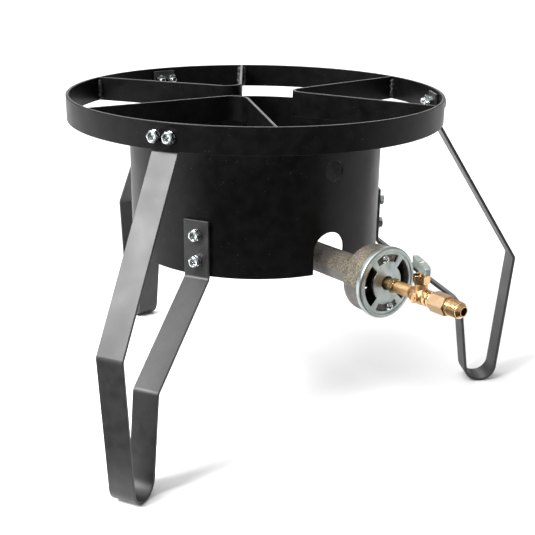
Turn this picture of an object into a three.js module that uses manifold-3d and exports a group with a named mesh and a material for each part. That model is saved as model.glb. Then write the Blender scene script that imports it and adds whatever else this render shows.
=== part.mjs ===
// Outdoor gas burner stand: a pot ring with three V-shaped pot supports, three legs bent from flat
// strap, a rolled windscreen, a cast-iron venturi burner with its air shutter, and a brass gas valve.
// Millimetres, +Z up. The origin is on the floor under the middle of the footprint's box, and the
// burner's gas inlet points to -Y.

import * as THREE from 'three';
import { mergeVertices } from 'three/addons/utils/BufferGeometryUtils.js';
import Module from 'manifold-3d';

const wasm = await Module();
wasm.setup();

const DEG = Math.PI / 180;
const { cos, sin } = Math;

// ---- stand ----------------------------------------------------------------------------------
const STAND_HEIGHT = 353;        // floor to the pot
const RING_RADIUS = 203.2;       // 16 in ring, outside
const RING_HEIGHT = 26.5;
const BAR = 3.2;                 // thickness of the flat bar of the ring, supports and legs
const AXIS_Y = 7.9;              // the ring's axis, so that the footprint's box is centred on Y
const GAP = 0.25;                // clearance between pieces that touch
const ROUND = 96;                // sides of the ring

const LEG_ANGLES = [90, 210, 330];
const LEG_WIDTH = 28;
const LEG_TOP_BEND = 325.5;      // where the leg turns outwards, just under the ring
const LEG_TOP_DROP = 3;          // from the ring's top edge down to the leg's top end
const OUTER_KNEE = [304.6, 158.3];
const INNER_KNEE = [245.6, 100.6];
const FOOT_REACH = 275.8;        // radius of the middle of the U-shaped foot
const FOOT_BEND = 18.2;          // bend radius of the foot, to the middle of the strap
const FOOT_FLAT = 6 * DEG;       // half the angle of the flat spot that the foot stands on
const KNEE_BEND = 6;
const TAB_BEND_HEIGHT = 182.3;   // where the leg meets the windscreen
const TAB_TOP = 243.4;

const SUPPORT_HALF_ANGLE = 30;   // between a support's middle and its weld to the ring
const SUPPORT_APEX = 30;         // the V's sharp corner, before it is rounded
const SUPPORT_BEND = 16;

const SCREEN_RADIUS = 137.8;
const SCREEN_SHEET = 1.6;
const SCREEN_BOTTOM = 184.4;
const SCREEN_HEIGHT = 139.6;
const SLOT_WIDTH = 38;
const SLOT_TOP = 227.6;
const SLOT_TURN = -1.4;            // degrees that the slot stands off the burner's tube
const LIGHT_HOLE = { radius: 10.8, height: 291.5 };

// ---- 1/4-20 fasteners -----------------------------------------------------------------------
const BOLT = { radius: 3.175, flats: 11.1, head: 4.4, length: 19.05 };
const NUT = { flats: 11.1, height: 5.5 };
const WASHER = { outer: 6.2, height: 1.6, split: 9 * DEG };
const HOLE = BOLT.radius + 0.35;
const RING_BOLT_SPREAD = 15.6;
const TAB_BOLT_HEIGHTS = [200.5, 228.5];

// ---- burner ---------------------------------------------------------------------------------
const BURNER_HEIGHT = 190.7;     // the tube's axis at the ring's axis
const BURNER_RISE = 1.89 * DEG;  // the tube rises slightly towards its inlet
const TUBE = { outer: 15, bore: 11 };
const BELL = { neck: 189, outer: 33.6, bore: 29.2, back: 215, face: 221 };
const BRIDGE_HALF_ANGLE = 34 * DEG;
const BRIDGE_TURN = -8 * DEG;    // the bridge leans this far from upright, seen from the inlet
const HUB = 15;
const HEAD = { radius: 56, bottom: 222, top: 258 };
const PORT_ROWS = [[50, 20], [30, 10]];
const PORT_RADIUS = 2.2;
const FOOT_BOSS = { radius: 12, bottom: 174.7, tapped: 8 };
const BURNER_BOLT_LENGTH = 11;
const CROSSBAR = { width: 25.4, top: 208, face: 174.4, flat: 55, shoulder: 188.5, bend: 5 };

// ---- air shutter ----------------------------------------------------------------------------
const SHUTTER = { radius: 35.6, sheet: 1.5, back: 217.5, face: 222.8, hole: 7 };
const WINDOW = { inner: 18, outer: 28.3, half: 46 * DEG };
const ARC_SLOT = { inner: 21.6, outer: 28.3, half: 29 * DEG };
const SHUTTER_SCREW = { circle: 24.9, radius: 1.9, head: 4, rise: 2.8, length: 12 };

// ---- brass train: stations along the tube's axis, from the ring's axis -----------------------
const ORIFICE = { tip: 2.2, foot: 3.4, length: 4, bore: 0.7 };
const NIPPLE = { radius: 5.1, bore: 1.8, start: 205, hex: 229, hexEnd: 235.5, flats: 12.7 };
const SPIGOT = { radius: 4.4, end: 245 };
const BARREL = { start: 236.2, radius: 6.1 };
const VALVE_STATION = 268;
const VALVE_END = 280.4;
const COLLAR_RADIUS = 7.9;
const PORT_BORE = 2.6;
const BONNET = { radius: 6.3, top: 12 };
const BOSS = { radius: 5, reach: 10.6 };
const PLUG = { radius: 3.9, bottom: -4.6, top: 5 };
const STEM = { radius: 2.5, top: 32.6 };
const PACKING_NUT = { flats: 14.3, bottom: 12.25, top: 21 };
const LEVER = { back: -22.6, front: 18.6, end: 2.6, shoulder: 3.4, middle: 3.9, bottom: 25.2, top: 33 };
const LEVER_TURN = 27.5;         // degrees from fully open
const LEVER_PIN = { radius: 1, height: 29 };
const ADAPTER = { start: 280.65, hex: 285.2, hexEnd: 303.8, flats: 17.5, thread: 7.94 };
const FLARE = { neck: 306.2, shoulder: 318, tip: 322.1, face: 4.9, bore: 3.9 };

// ---- geometry helpers -----------------------------------------------------------------------
const WELD = 1e-4;
const v2 = (x, y) => new THREE.Vector2(x, y);

function toSolid(geometry) {
  const bare = geometry.clone();
  bare.deleteAttribute('normal');
  bare.deleteAttribute('uv');
  const merged = mergeVertices(bare, WELD);
  return new wasm.Manifold(new wasm.Mesh({
    numProp: 3,
    vertProperties: new Float32Array(merged.attributes.position.array),
    triVerts: new Uint32Array(merged.index.array),
  }));
}

function toGeometry(solid) {
  const { vertProperties, triVerts } = solid.getMesh();
  const geometry = new THREE.BufferGeometry();
  geometry.setAttribute('position', new THREE.BufferAttribute(new Float32Array(vertProperties), 3));
  geometry.setIndex(new THREE.BufferAttribute(new Uint32Array(triVerts), 1));
  return geometry;
}

function join(...geometries) {
  const [first, ...others] = geometries.map(toSolid);
  return toGeometry(others.reduce((whole, solid) => whole.add(solid), first));
}

function cut(geometry, ...tools) {
  return toGeometry(tools.map(toSolid).reduce((whole, tool) => whole.subtract(tool), toSolid(geometry)));
}

function common(first, second) {
  return toGeometry(toSolid(first).intersect(toSolid(second)));
}

// A round bar along +Z. Six sides and hexRadius make a hexagonal one.
function rod(radius, low, high, sides = 32, topRadius = radius) {
  const geometry = new THREE.CylinderGeometry(topRadius, radius, high - low, sides);
  return geometry.rotateX(90 * DEG).translate(0, 0, (low + high) / 2);
}

const hexRadius = (flats) => flats / 2 / cos(30 * DEG);

// A solid of revolution about +Z. The profile is [radius, height] pairs, from bottom to top.
function turned(profile, sides = 36) {
  const geometry = new THREE.LatheGeometry(profile.map(([radius, height]) => v2(radius, height)), sides);
  return geometry.rotateX(90 * DEG);
}

// An outline between two heights. Each arc in it gets `sides` straight steps.
function slab(shape, low, high, sides = 24) {
  const settings = { depth: high - low, bevelEnabled: false, curveSegments: sides / 2 };
  return new THREE.ExtrudeGeometry(shape, settings).translate(0, 0, low);
}

function circle(radius) {
  return new THREE.Shape().absarc(0, 0, radius, 0, 360 * DEG, false);
}

function band(outer, inner, low, high, sides) {
  const shape = circle(outer);
  shape.holes.push(circle(inner));
  return slab(shape, low, high, sides);
}

// A stretch of an annulus, centred on the angle `middle`.
function sector(inner, outer, middle, half) {
  const shape = new THREE.Shape();
  shape.absarc(0, 0, outer, middle - half, middle + half, false);
  shape.absarc(0, 0, inner, middle + half, middle - half, true);
  return shape;
}

// The corners of a line, each inner one rounded to `bend` in steps of about 15 degrees.
function rounded(corners, bend) {
  const points = [corners[0]];
  corners.slice(1, -1).forEach((corner, i) => {
    const back = corners[i].clone().sub(corner).normalize();
    const ahead = corners[i + 2].clone().sub(corner).normalize();
    const half = Math.acos(THREE.MathUtils.clamp(back.dot(ahead), -1, 1)) / 2;
    const centre = back.clone().add(ahead).normalize().multiplyScalar(bend / sin(half)).add(corner);
    const start = back.clone().multiplyScalar(bend / Math.tan(half)).add(corner).sub(centre);
    const turn = (180 * DEG - 2 * half) * Math.sign(ahead.cross(back));
    const steps = Math.max(2, Math.round(Math.abs(turn) / (15 * DEG)));
    for (let step = 0; step <= steps; step++) {
      const angle = turn * step / steps;
      points.push(start.clone().rotateAround(v2(0, 0), angle).add(centre));
    }
  });
  points.push(corners.at(-1));
  return points;
}

// The outline of a strip of the given thickness whose middle follows a line of points.
function stripShape(line, thickness) {
  const sides = line.map((point, i) => {
    const before = line[Math.max(i - 1, 0)];
    const after = line[Math.min(i + 1, line.length - 1)];
    const incoming = (i === 0 ? after.clone().sub(point) : point.clone().sub(before)).normalize();
    const outgoing = (i === line.length - 1 ? incoming : after.clone().sub(point).normalize());
    const normal = incoming.clone().add(outgoing).normalize();
    const reach = thickness / 2 / normal.dot(incoming);
    const offset = v2(-normal.y, normal.x).multiplyScalar(reach);
    return [point.clone().add(offset), point.clone().sub(offset)];
  });
  return new THREE.Shape([...sides.map(([left]) => left), ...sides.map(([, right]) => right).reverse()]);
}

// ---- assembly -------------------------------------------------------------------------------
const stand = new THREE.Group();
const ringAxis = new THREE.Group();
ringAxis.position.y = AXIS_Y;
stand.add(ringAxis);

const FINISHES = {
  blackPaint: [0x151515, 0.45, 0.3],
  zinc: [0xb9bec0, 0.35, 0.9],
  castIron: [0x4a443c, 0.85, 0.4],
  brass: [0xc8975a, 0.3, 0.95],
  packing: [0xe8e6df, 0.6, 0],
};

function piece(name, geometry, finish, parent = ringAxis) {
  const [color, roughness, metalness] = FINISHES[finish];
  const mesh = new THREE.Mesh(geometry, new THREE.MeshStandardMaterial({ color, roughness, metalness }));
  mesh.name = name;
  parent.add(mesh);
  return mesh;
}

// A cutter for a hole along the radius at an angle, from inside the wall to outside it.
function radialHole(radius, angle, offset, height, wall) {
  const geometry = rod(radius, wall - 15, wall + 15, 12);
  return geometry.rotateY(90 * DEG).translate(0, offset, height).rotateZ(angle * DEG);
}

const ringMiddle = STAND_HEIGHT - RING_HEIGHT / 2;
const ringBoltSides = [-RING_BOLT_SPREAD / 2, RING_BOLT_SPREAD / 2];

function potRing() {
  const ring = band(RING_RADIUS, RING_RADIUS - BAR, STAND_HEIGHT - RING_HEIGHT, STAND_HEIGHT, ROUND);
  const holes = LEG_ANGLES.flatMap((angle) => ringBoltSides.map(
    (side) => radialHole(HOLE, angle, side, ringMiddle, RING_RADIUS)));
  return cut(ring, ...holes);
}

function potSupport() {
  const reach = RING_RADIUS + BAR;
  const end = v2(reach * cos(SUPPORT_HALF_ANGLE * DEG), reach * sin(SUPPORT_HALF_ANGLE * DEG));
  const line = rounded([end, v2(SUPPORT_APEX, 0), v2(end.x, -end.y)], SUPPORT_BEND);
  const bar = slab(stripShape(line, BAR), STAND_HEIGHT - RING_HEIGHT, STAND_HEIGHT);
  const inside = rod(RING_RADIUS - BAR - 1.5 * GAP, 0, 2 * STAND_HEIGHT, ROUND);
  return common(bar, inside);
}

function windscreen() {
  const top = SCREEN_BOTTOM + SCREEN_HEIGHT;
  const wall = band(SCREEN_RADIUS, SCREEN_RADIUS - SCREEN_SHEET, SCREEN_BOTTOM, top, 72);
  const springing = SLOT_TOP - SLOT_WIDTH / 2;
  const arch = new THREE.Shape();
  arch.moveTo(-SLOT_WIDTH / 2, SCREEN_BOTTOM - 10);
  arch.lineTo(SLOT_WIDTH / 2, SCREEN_BOTTOM - 10);
  arch.absarc(0, springing, SLOT_WIDTH / 2, 0, 180 * DEG, false);
  const slot = slab(arch, SCREEN_RADIUS - 20, SCREEN_RADIUS + 20, 16).rotateX(90 * DEG);
  slot.rotateZ(SLOT_TURN * DEG);
  const light = rod(LIGHT_HOLE.radius, SCREEN_RADIUS - 20, SCREEN_RADIUS + 20, 24);
  light.rotateX(90 * DEG).translate(0, 0, LIGHT_HOLE.height);
  const holes = LEG_ANGLES.flatMap((angle) => TAB_BOLT_HEIGHTS.map(
    (height) => radialHole(HOLE, angle, 0, height, SCREEN_RADIUS)));
  return cut(wall, slot, light, ...holes);
}

// The middle of the strap's thickness where it lies flat inside the ring and outside the windscreen.
const ringInside = RING_RADIUS - BAR;
const ringTab = Math.sqrt(ringInside ** 2 - (LEG_WIDTH / 2) ** 2) - GAP - BAR / 2;
const screenTab = SCREEN_RADIUS + GAP + BAR / 2;

// The touching point of a straight line from a knee to the foot's arc, as an angle about its middle.
function tangentAngle(knee, centre, turn) {
  const away = knee.clone().sub(centre);
  return away.angle() + turn * Math.acos(FOOT_BEND / away.length());
}

function legLine() {
  const footCentre = v2(FOOT_REACH, FOOT_BEND * cos(FOOT_FLAT) + BAR / 2);
  const outerKnee = v2(...OUTER_KNEE);
  const innerKnee = v2(...INNER_KNEE);
  const onFoot = (angle) => v2(FOOT_BEND, 0).rotateAround(v2(0, 0), angle).add(footCentre);
  const start = tangentAngle(outerKnee, footCentre, -1);
  const end = tangentAngle(innerKnee, footCentre, 1) - 360 * DEG;
  const flatStart = -90 * DEG + FOOT_FLAT;
  const flatEnd = -90 * DEG - FOOT_FLAT;
  const steps = 5;
  const arc = [];
  for (let i = 0; i <= steps; i++) arc.push(onFoot(start + (flatStart - start) * i / steps));
  for (let i = 0; i <= steps; i++) arc.push(onFoot(flatEnd + (end - flatEnd) * i / steps));
  const ringEnd = [v2(ringTab, STAND_HEIGHT - LEG_TOP_DROP), v2(ringTab, LEG_TOP_BEND)];
  const screenEnd = [v2(screenTab, TAB_BEND_HEIGHT), v2(screenTab, TAB_TOP)];
  const upper = rounded([...ringEnd, outerKnee, arc[0]], KNEE_BEND);
  const lower = rounded([arc.at(-1), innerKnee, ...screenEnd], KNEE_BEND);
  return [...upper, ...arc.slice(1, -1), ...lower];
}

function leg() {
  const strap = slab(stripShape(legLine(), BAR), -LEG_WIDTH / 2, LEG_WIDTH / 2).rotateX(90 * DEG);
  const ringHoles = ringBoltSides.map((side) => radialHole(HOLE, 0, side, ringMiddle, ringTab));
  const tabHoles = TAB_BOLT_HEIGHTS.map((height) => radialHole(HOLE, 0, 0, height, screenTab));
  return cut(strap, ...ringHoles, ...tabHoles);
}

// ---- fasteners, each along +Z with its head or its far face up --------------------------------
function bolt() {
  return join(
    rod(hexRadius(BOLT.flats), 0, BOLT.head, 6),
    rod(BOLT.radius, -BOLT.length, 0.5, 16),
  );
}

function nut() {
  return cut(rod(hexRadius(NUT.flats), 0, NUT.height, 6), rod(HOLE, -1, NUT.height + 1, 16));
}

function lockWasher() {
  const ring = new THREE.Shape();
  ring.absarc(0, 0, WASHER.outer, WASHER.split, 360 * DEG - WASHER.split, false);
  ring.absarc(0, 0, HOLE, 360 * DEG - WASHER.split, WASHER.split, true);
  return slab(ring, 0, WASHER.height, 14);
}

// A bolt, its lock washer and its nut through a wall, along the leg's radius.
function boltSet(parent, label, y, height, outerFace, innerFace) {
  const set = new THREE.Group();
  set.position.set(0, y, height);
  set.rotation.y = 90 * DEG;
  parent.add(set);
  piece(`lock_washer_${label}`, lockWasher(), 'zinc', set).position.z = outerFace + GAP;
  piece(`bolt_${label}`, bolt(), 'zinc', set).position.z = outerFace + WASHER.height + 2 * GAP;
  piece(`nut_${label}`, nut(), 'zinc', set).position.z = innerFace - GAP - NUT.height;
}

piece('pot_ring', potRing(), 'blackPaint');
piece('windscreen', windscreen(), 'blackPaint');

LEG_ANGLES.forEach((angle, i) => {
  const station = new THREE.Group();
  station.rotation.z = angle * DEG;
  ringAxis.add(station);
  const side = i + 1;
  piece(`pot_support_${side}`, potSupport(), 'blackPaint', station);
  piece(`leg_${side}`, leg(), 'blackPaint', station);
  boltSet(station, `ring_${side}a`, ringBoltSides[0], ringMiddle, RING_RADIUS, ringTab - BAR / 2);
  boltSet(station, `ring_${side}b`, ringBoltSides[1], ringMiddle, RING_RADIUS, ringTab - BAR / 2);
  const screenInside = SCREEN_RADIUS - SCREEN_SHEET - GAP;
  boltSet(station, `screen_${side}a`, 0, TAB_BOLT_HEIGHTS[0], screenTab + BAR / 2, screenInside);
  boltSet(station, `screen_${side}b`, 0, TAB_BOLT_HEIGHTS[1], screenTab + BAR / 2, screenInside);
});

// ---- burner, crossbar and its bolt --------------------------------------------------------------
// Places a solid that was made along the tube's axis (+Z outwards, +Y up) into the stand.
function alongTube(geometry) {
  return geometry.rotateX(90 * DEG - BURNER_RISE).translate(0, 0, BURNER_HEIGHT);
}

// The casting's four turned profiles: the tube with its bell, the body with the head, and the
// hollows inside each.
const TUBE_PROFILE = [
  [0, 0], [TUBE.outer, 0], [TUBE.outer, BELL.neck], [16.5, BELL.neck + 2.2], [28, BELL.neck + 3],
  [31, BELL.neck + 4.2], [32.8, BELL.neck + 6.8], [BELL.outer, BELL.neck + 11],
  [BELL.outer, BELL.face], [0, BELL.face],
];
const BODY_PROFILE = [
  [0, FOOT_BOSS.bottom], [FOOT_BOSS.radius, FOOT_BOSS.bottom], [FOOT_BOSS.radius, 180], [17, 184],
  [18.5, 192], [18.5, 206], [17, 212], [18, HEAD.bottom], [44, HEAD.bottom + 11],
  [HEAD.radius, HEAD.bottom + 17], [HEAD.radius, HEAD.top - 8], [52, HEAD.top - 4],
  [44, HEAD.top - 1], [30, HEAD.top], [0, HEAD.top],
];
const THROAT_PROFILE = [
  [0, 0], [TUBE.bore, 0], [TUBE.bore, BELL.neck - 6], [19, BELL.neck + 8], [27, BELL.neck + 13],
  [BELL.bore, BELL.neck + 19], [BELL.bore, BELL.back], [0, BELL.back],
];
const CHAMBER_PROFILE = [
  [0, BURNER_HEIGHT - 3], [11, BURNER_HEIGHT - 3], [13, 206], [13, HEAD.bottom + 4],
  [42, HEAD.bottom + 15], [51, HEAD.bottom + 20], [51, HEAD.top - 9], [44, HEAD.top - 6],
  [0, HEAD.top - 5],
];

function burnerCasting() {
  const tube = alongTube(turned(TUBE_PROFILE));
  const body = turned(BODY_PROFILE);
  const throat = alongTube(turned(THROAT_PROFILE, 24));
  const chamber = turned(CHAMBER_PROFILE, 24);
  const windows = [0, 180 * DEG].map((side) => alongTube(
    slab(sector(HUB, BELL.bore, side - BRIDGE_TURN, 90 * DEG - BRIDGE_HALF_ANGLE),
      BELL.back - 1, BELL.face + 1, 12)));
  const nippleHole = alongTube(rod(NIPPLE.radius + 0.35, BELL.back - 10, BELL.face + 1, 20));
  const screwHoles = screwPlaces().map(({ x, y }) => alongTube(
    rod(SHUTTER_SCREW.radius + 0.3, BELL.back - 1, BELL.face + 1, 12).translate(x, y, 0)));
  const ports = PORT_ROWS.flatMap(([radius, count]) => Array.from({ length: count }, (_, i) => (
    rod(PORT_RADIUS, HEAD.top - 12, HEAD.top + 2, 6)
      .translate(radius, 0, 0).rotateZ(360 * DEG * i / count))));
  const boltHole = rod(HOLE, FOOT_BOSS.bottom - 1, FOOT_BOSS.bottom + FOOT_BOSS.tapped, 12);
  return cut(join(tube, body), throat, chamber, ...windows, nippleHole, ...screwHoles, ...ports, boltHole);
}

// The two shutter screws on the bridge, as seen from the inlet: x to the right, y up.
function screwPlaces() {
  return [0, 180 * DEG].map((side) => v2(
    SHUTTER_SCREW.circle * sin(side + BRIDGE_TURN),
    SHUTTER_SCREW.circle * cos(side + BRIDGE_TURN)));
}

// The strap dips towards its middle, so that the windscreen hides it.
function crossbar() {
  const inside = SCREEN_RADIUS - SCREEN_SHEET;
  const wall = Math.sqrt(inside ** 2 - (CROSSBAR.width / 2) ** 2) - 2 * GAP - BAR / 2;
  const middle = CROSSBAR.face - BAR / 2;
  const corners = [
    v2(-wall, CROSSBAR.top), v2(-wall, CROSSBAR.shoulder), v2(-CROSSBAR.flat, middle),
    v2(CROSSBAR.flat, middle), v2(wall, CROSSBAR.shoulder), v2(wall, CROSSBAR.top),
  ];
  const line = rounded(corners, CROSSBAR.bend);
  const strap = slab(stripShape(line, BAR), -CROSSBAR.width / 2, CROSSBAR.width / 2).rotateX(90 * DEG);
  return cut(strap, rod(HOLE, middle - 10, middle + 10, 16));
}

piece('burner_crossbar', crossbar(), 'blackPaint');
piece('burner_casting', burnerCasting(), 'castIron');

const underside = new THREE.Group();
underside.position.z = CROSSBAR.face - BAR;
underside.rotation.x = 180 * DEG;
ringAxis.add(underside);
piece('lock_washer_burner', lockWasher(), 'zinc', underside).position.z = GAP;
const burnerBolt = join(
  rod(hexRadius(BOLT.flats), 0, BOLT.head, 6),
  rod(BOLT.radius, -BURNER_BOLT_LENGTH, 0.5, 16),
);
piece('bolt_burner', burnerBolt, 'zinc', underside).position.z = WASHER.height + 2 * GAP;

// ---- air shutter ----------------------------------------------------------------------------
const train = new THREE.Group();
train.position.z = BURNER_HEIGHT;
train.rotation.x = 90 * DEG - BURNER_RISE;
ringAxis.add(train);

function airShutter() {
  const face = circle(SHUTTER.radius);
  face.holes.push(circle(SHUTTER.hole));
  face.holes.push(sector(WINDOW.inner, WINDOW.outer, 0, WINDOW.half));
  face.holes.push(sector(WINDOW.inner, WINDOW.outer, 180 * DEG, WINDOW.half));
  face.holes.push(sector(ARC_SLOT.inner, ARC_SLOT.outer, 90 * DEG, ARC_SLOT.half));
  face.holes.push(sector(ARC_SLOT.inner, ARC_SLOT.outer, 270 * DEG, ARC_SLOT.half));
  const plate = slab(face, SHUTTER.face - SHUTTER.sheet, SHUTTER.face, 24);
  const rimInside = SHUTTER.radius - SHUTTER.sheet;
  const rim = band(SHUTTER.radius, rimInside, SHUTTER.back, SHUTTER.face - SHUTTER.sheet / 2, 24);
  return join(plate, rim);
}

function shutterScrew() {
  return join(
    turned([[0, 0], [SHUTTER_SCREW.head, 0], [SHUTTER_SCREW.head, 1], [2.6, SHUTTER_SCREW.rise],
      [0, SHUTTER_SCREW.rise]], 20),
    rod(SHUTTER_SCREW.radius, -SHUTTER_SCREW.length, 0.4, 12),
  );
}

piece('air_shutter', airShutter(), 'zinc', train);
screwPlaces().forEach(({ x, y }, i) => {
  const screw = piece(`shutter_screw_${i + 1}`, shutterScrew(), 'zinc', train);
  screw.position.set(x, y, SHUTTER.face + GAP);
});

// ---- brass train ----------------------------------------------------------------------------
// The orifice is the cone at the start of the nipple: it blows the gas into the casting's throat.
function orificeHolder() {
  const coneStart = NIPPLE.start - ORIFICE.length;
  const outside = join(
    rod(NIPPLE.radius, NIPPLE.start, NIPPLE.hex + 0.5, 24),
    rod(hexRadius(NIPPLE.flats), NIPPLE.hex, NIPPLE.hexEnd, 6),
    rod(SPIGOT.radius, NIPPLE.hexEnd - 0.5, SPIGOT.end, 20),
    rod(ORIFICE.tip, coneStart, NIPPLE.start + 0.5, 16, ORIFICE.foot),
  );
  const passage = rod(NIPPLE.bore, NIPPLE.start, SPIGOT.end + 1, 12);
  return cut(outside, passage, rod(ORIFICE.bore, coneStart - 1, NIPPLE.start + 1, 8));
}

// Turns a solid made along +Z with its foot on the train's axis so that it stands up at the valve.
function upright(geometry) {
  return geometry.rotateX(-90 * DEG).translate(0, 0, VALVE_STATION);
}

function valveBody() {
  const swelling = [
    [0, 258], [BARREL.radius, 258], [7.6, 261], [8.2, 264.5], [8.2, 273.4], [7.1, 274.6], [7.1, 275.3],
    [COLLAR_RADIUS, 276.1], [COLLAR_RADIUS, 279.7], [7.4, VALVE_END], [0, VALVE_END],
  ];
  const outside = join(
    rod(BARREL.radius, BARREL.start, VALVE_END, 32),
    turned(swelling, 24),
    upright(rod(BONNET.radius, 0, BONNET.top, 32)),
    rod(BOSS.radius, 0, BOSS.reach, 28).rotateY(-90 * DEG).translate(0, 0, VALVE_STATION),
  );
  return cut(
    outside,
    rod(SPIGOT.radius + 0.35, BARREL.start - 1, SPIGOT.end + 0.6, 20),
    rod(PORT_BORE, BARREL.start, VALVE_END + 1, 16),
    upright(rod(PLUG.radius + 0.3, PLUG.bottom - 0.4, BONNET.top + 1, 24)),
  );
}

function packingNut() {
  return cut(
    rod(hexRadius(PACKING_NUT.flats), PACKING_NUT.bottom, PACKING_NUT.top, 6),
    rod(STEM.radius + 0.3, PACKING_NUT.bottom - 1, PACKING_NUT.top + 1, 20),
  );
}

// The stem and its lever are built with the lever's long end along +X and the pin along Y.
function pinShape(radius, reach) {
  return rod(radius, -reach, reach, 12).rotateX(90 * DEG).translate(0, 0, LEVER_PIN.height);
}

function valveStem() {
  const stem = join(
    rod(PLUG.radius, PLUG.bottom, PLUG.top, 24),
    rod(STEM.radius, PLUG.top - 0.5, STEM.top, 20),
  );
  const passage = rod(PORT_BORE, -10, 10, 12).rotateY(90 * DEG);
  return cut(stem, passage, pinShape(LEVER_PIN.radius + GAP, 10));
}

function stemPacking() {
  const bottom = PLUG.top + GAP;
  const top = BONNET.top - GAP;
  return cut(rod(PLUG.radius, bottom, top, 24), rod(STEM.radius + 0.3, bottom - 1, top + 1, 20));
}

function valveLever() {
  const { back, front, end, shoulder, middle, bottom, top } = LEVER;
  const side = new THREE.Shape([
    v2(back, bottom + 0.6), v2(back + 0.6, bottom), v2(front - 1, bottom), v2(front, bottom + 1),
    v2(front, top - 2.2), v2(front - 1, top - 0.8), v2(front - 3.4, top), v2(back + 1, top),
    v2(back, top - 1),
  ]);
  const bar = slab(side, -middle, middle).rotateX(90 * DEG);
  const edge = [[back, end], [-13, shoulder], [-4, middle], [4, middle], [12, shoulder], [front, end]];
  const plan = new THREE.Shape([
    ...edge.map(([x, half]) => v2(x, -half)), ...edge.map(([x, half]) => v2(x, half)).reverse(),
  ]);
  const socket = rod(STEM.radius + GAP, bottom - 1, top + 1, 20);
  return cut(common(bar, slab(plan, bottom - 1, top + 1)), socket, pinShape(LEVER_PIN.radius + GAP, 10));
}

function flareAdapter() {
  const hex = rod(hexRadius(ADAPTER.flats), ADAPTER.hex, ADAPTER.hexEnd, 6);
  const chamfer = turned([
    [0, ADAPTER.hex - 1], [8.4, ADAPTER.hex - 1], [10.3, ADAPTER.hex + 0.8], [10.3, ADAPTER.hexEnd - 0.8],
    [8.4, ADAPTER.hexEnd + 1], [0, ADAPTER.hexEnd + 1],
  ]);
  const turnings = turned([
    [0, ADAPTER.start], [7.4, ADAPTER.start], [COLLAR_RADIUS, ADAPTER.start + 0.6],
    [COLLAR_RADIUS, ADAPTER.hex - 1.4], [7.1, ADAPTER.hex - 0.6], [7.1, ADAPTER.hex + 1],
    [7.1, FLARE.neck], [ADAPTER.thread, FLARE.neck + 1], [ADAPTER.thread, FLARE.shoulder - 0.8],
    [7.2, FLARE.shoulder], [FLARE.face, FLARE.tip], [0, FLARE.tip],
  ], 28);
  return cut(join(common(hex, chamfer), turnings), rod(FLARE.bore, ADAPTER.start - 1, FLARE.tip + 1, 20));
}

piece('orifice_holder', orificeHolder(), 'brass', train);
piece('valve_body', valveBody(), 'brass', train);
piece('flare_adapter', flareAdapter(), 'brass', train);

const bonnet = new THREE.Group();
bonnet.position.z = VALVE_STATION;
bonnet.rotation.x = -90 * DEG;
train.add(bonnet);
piece('stem_packing', stemPacking(), 'packing', bonnet);
piece('packing_nut', packingNut(), 'brass', bonnet);

const turning = new THREE.Group();
turning.rotation.z = (-90 - LEVER_TURN) * DEG;
bonnet.add(turning);
piece('valve_stem', valveStem(), 'brass', turning);
piece('valve_lever', valveLever(), 'zinc', turning);
piece('lever_pin', pinShape(LEVER_PIN.radius, LEVER.middle), 'zinc', turning);

export default stand;
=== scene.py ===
"""Outdoor gas burner stand: fine meshes, materials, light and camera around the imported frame.

Lengths are in millimetres until a mesh is made, and each piece is built in its own group's frame:
the ring's axis, a leg's station, the burner's tube, the valve's bonnet or the turning lever.
"""

import math
import random
from math import radians

import bmesh
import bpy
from mathutils import Matrix, Vector, noise


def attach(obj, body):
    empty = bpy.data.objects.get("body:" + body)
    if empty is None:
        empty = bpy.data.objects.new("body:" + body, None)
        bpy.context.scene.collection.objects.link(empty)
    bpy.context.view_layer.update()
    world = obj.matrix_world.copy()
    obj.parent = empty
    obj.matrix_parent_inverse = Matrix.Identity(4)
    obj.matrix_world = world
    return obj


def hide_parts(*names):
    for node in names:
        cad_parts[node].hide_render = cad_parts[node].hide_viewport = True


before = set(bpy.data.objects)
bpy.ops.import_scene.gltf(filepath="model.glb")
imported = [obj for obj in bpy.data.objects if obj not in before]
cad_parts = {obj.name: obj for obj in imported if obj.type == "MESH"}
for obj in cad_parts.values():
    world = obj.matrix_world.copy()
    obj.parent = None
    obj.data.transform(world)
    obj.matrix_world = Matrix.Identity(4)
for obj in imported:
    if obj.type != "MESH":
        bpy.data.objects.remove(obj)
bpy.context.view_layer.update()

MM = 0.001
random.seed(7)

# ---- stand ------------------------------------------------------------------------------------
STAND_HEIGHT = 353.0
RING_RADIUS = 203.2
RING_HEIGHT = 26.5
BAR = 3.2
BAR_EDGE = 0.7
AXIS_Y = 7.9
GAP = 0.25
LEG_ANGLES = (90, 210, 330)
LEG_WIDTH = 28.0
LEG_TOP_BEND = 325.5
LEG_TOP_DROP = 3.0
OUTER_KNEE = (304.6, 158.3)
INNER_KNEE = (245.6, 100.6)
FOOT_REACH = 275.8
FOOT_BEND = 18.2
FOOT_FLAT = radians(6)
KNEE_BEND = 6.0
TAB_BEND_HEIGHT = 182.3
TAB_TOP = 243.4
SUPPORT_HALF_ANGLE = radians(30)
SUPPORT_APEX = 30.0
SUPPORT_BEND = 16.0
SCREEN_RADIUS = 137.8
SCREEN_SHEET = 1.6
SCREEN_BOTTOM = 184.4
SCREEN_HEIGHT = 139.6
SLOT_WIDTH = 38.0
SLOT_TOP = 227.6
SLOT_TURN = radians(-1.4)      # the slot stands this far off the burner's tube
LIGHT_HOLE_RADIUS = 10.8
LIGHT_HOLE_HEIGHT = 291.5
RING_BOLT_SPREAD = 15.6
TAB_BOLT_HEIGHTS = (200.5, 228.5)

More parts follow.
